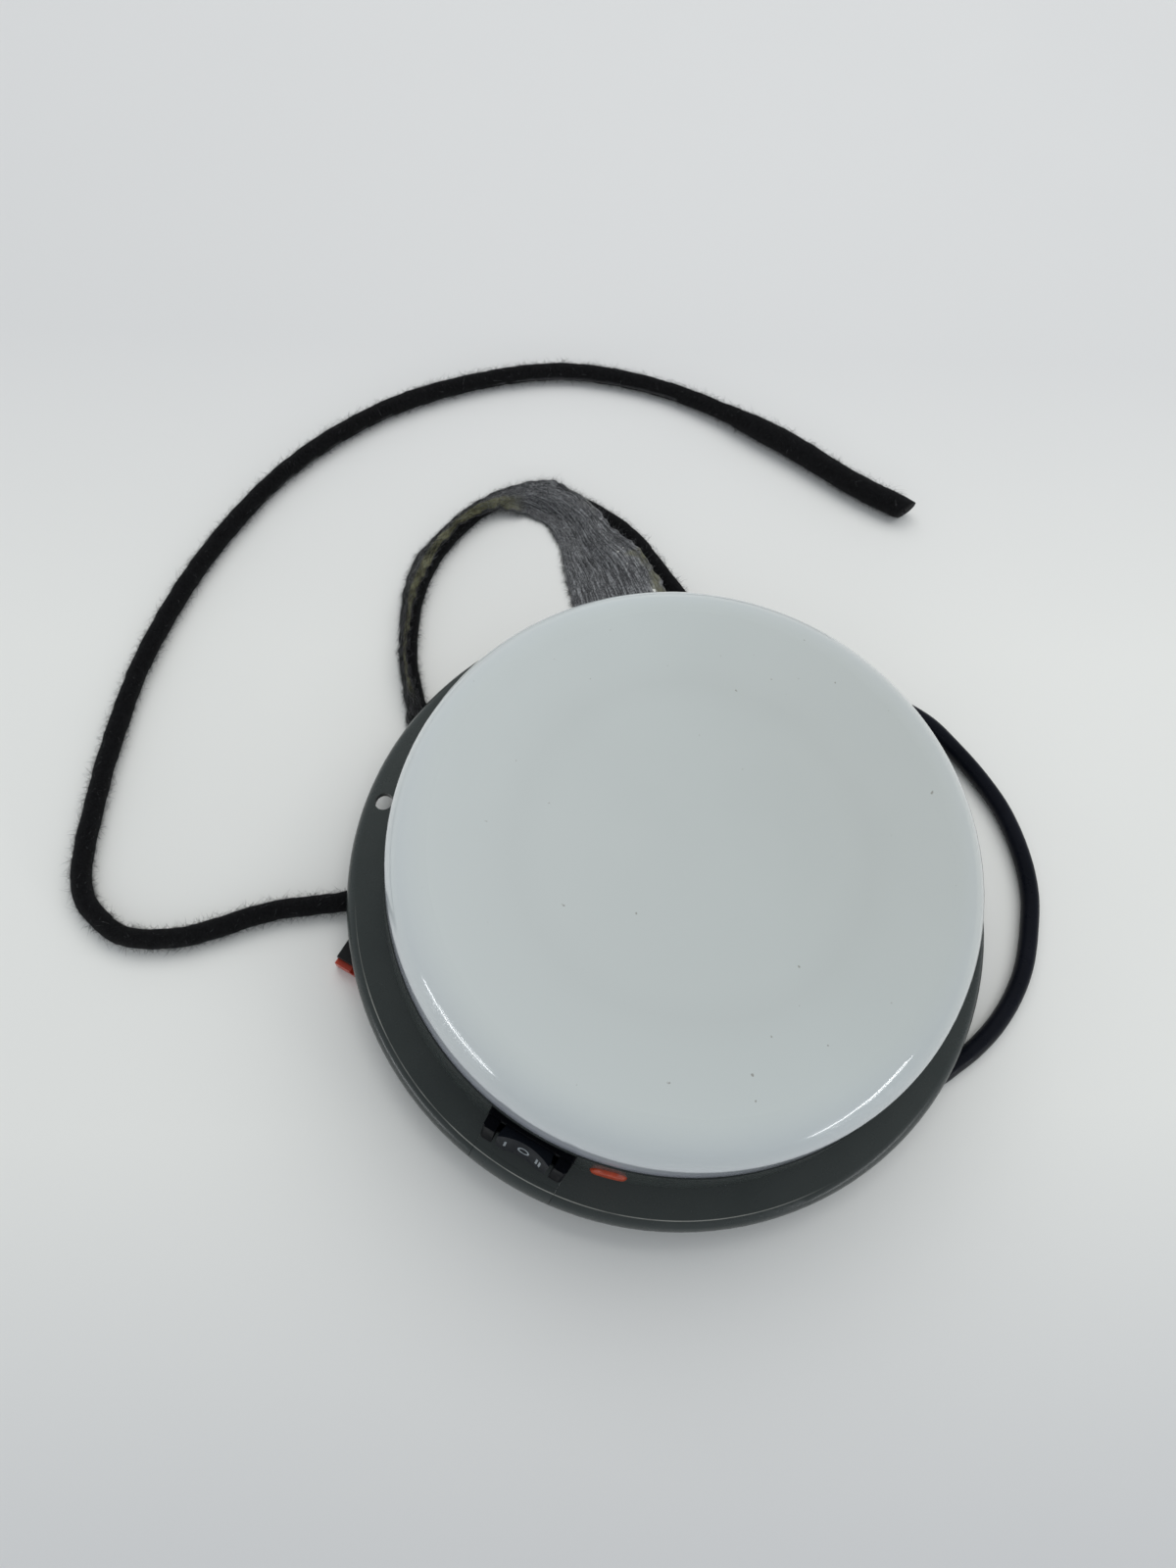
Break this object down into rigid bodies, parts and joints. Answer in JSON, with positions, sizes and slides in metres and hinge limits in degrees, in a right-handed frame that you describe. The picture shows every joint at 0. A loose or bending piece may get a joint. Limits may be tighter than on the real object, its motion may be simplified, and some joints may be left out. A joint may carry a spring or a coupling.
{
  "type": "interior lamp",
  "caption": "Round surface-mounted interior lamp with an opal clipped lens, a three-position rim rocker switch, a taped supply harness and a plug lead.",
  "frame": {"origin": "centre of the mounting face, the plane of the flange's lower edge", "axes": "+Z towards the lens, -Y towards the rocker switch"},
  "size_m": [0.2985, 0.2727, 0.0555],
  "materials": {
    "base_grey": "semi-gloss moulded",
    "opal": "glossy opal",
    "seal_rubber": "matt",
    "reflector_white": "satin white",
    "board_white": "white solder mask on metal core",
    "led_phosphor": "phosphor in clear package",
    "steel": "zinc plated",
    "ferrite": "sintered matt",
    "copper": "enamelled wire",
    "capacitor_sleeve": "shrink sleeve",
    "chip_black": "moulded",
    "connector_white": "natural nylon",
    "block_grey": "moulded",
    "brass": "bright",
    "switch_black": "fine matt",
    "rocker_black": "satin",
    "mark_white": "moulded-in",
    "pilot_red": "translucent",
    "wire_insulation": "extruded",
    "fleece_tape": "fleece, fuzzy",
    "fleece_inner": "unwound fleece, adhesive side up",
    "cable_rubber": "smooth satin",
    "plug_black": "moulded",
    "lock_red": "moulded",
    "nylon_tie": "nylon"
  },
  "bodies": {
    "lamp": {"base_pan": "base_grey", "switch_carrier": "base_grey", "carrier_screws": "steel", "lens_seal": "seal_rubber", "reflector_ring": "reflector_white", "led_board": "board_white", "board_screws": "steel", "leds": "led_phosphor", "inductor_core": "ferrite", "inductor_winding": "copper", "smoothing_capacitor": "capacitor_sleeve", "driver_chip": "chip_black", "chip_resistors": "chip_black", "board_header": "connector_white", "terminal_block": "block_grey", "terminal_sleeves": "brass", "terminal_screws": "steel", "switch_bezel": "switch_black", "switch_housing": "switch_black", "rocker_pin": "steel", "common_terminal": "brass", "throw_terminals": "brass", "spade_receptacles": "brass", "switch_wires": "wire_insulation", "pilot_lens": "pilot_red", "pilot_holder": "switch_black", "pilot_led": "pilot_red", "pilot_wires": "wire_insulation", "board_wires": "wire_insulation", "cable_grommet": "seal_rubber", "cable_ties": "nylon_tie", "harness_tape": "fleece_tape", "harness_overwrap": "fleece_tape", "harness_cores": "wire_insulation", "loose_tape": "fleece_inner", "round_cable_sheath": "cable_rubber", "round_cable_cores": "wire_insulation", "connector_housing": "plug_black", "connector_terminals": "brass", "wire_seals": "seal_rubber"},
    "rocker": {"switch_rocker": "rocker_black", "rocker_marks": "mark_white", "plunger_spring": "steel"},
    "plunger": {"switch_plunger": "connector_white"},
    "contact": {"contact_strip": "brass"},
    "cover": {"lens": "opal"},
    "plug_lock": {"connector_lock": "lock_red"}
  },
  "joints": [
    {"name": "rocker_tilt", "type": "hinge", "parent": "lamp", "child": "rocker", "pos_m": [0, -0.08063, 0.01794], "axis": [0, 0.1392, 0.9903], "range_deg": [-8, 8]},
    {"name": "contact_rock", "type": "hinge", "parent": "lamp", "child": "contact", "pos_m": [0, -0.0727, 0.01682], "axis": [0, 0.1392, 0.9903], "range_deg": [-6.7, 6.7]},
    {"name": "plunger_slide", "type": "slide", "parent": "rocker", "child": "plunger", "axis": [0, -0.9903, 0.1392], "range_m": [0, 0.0003], "stiffness_N_per_m": 800},
    {"name": "lens_lift", "type": "slide", "parent": "lamp", "child": "cover", "axis": [0, 0, 1], "range_m": [0, 0.045]},
    {"name": "plug_lock_slide", "type": "slide", "parent": "lamp", "child": "plug_lock", "axis": [0, -1, 0], "range_m": [0, 0.002]}
  ],
  "couplings": [
    {"joint": "contact_rock", "follows": "rocker_tilt", "ratio": -0.825}
  ]
}
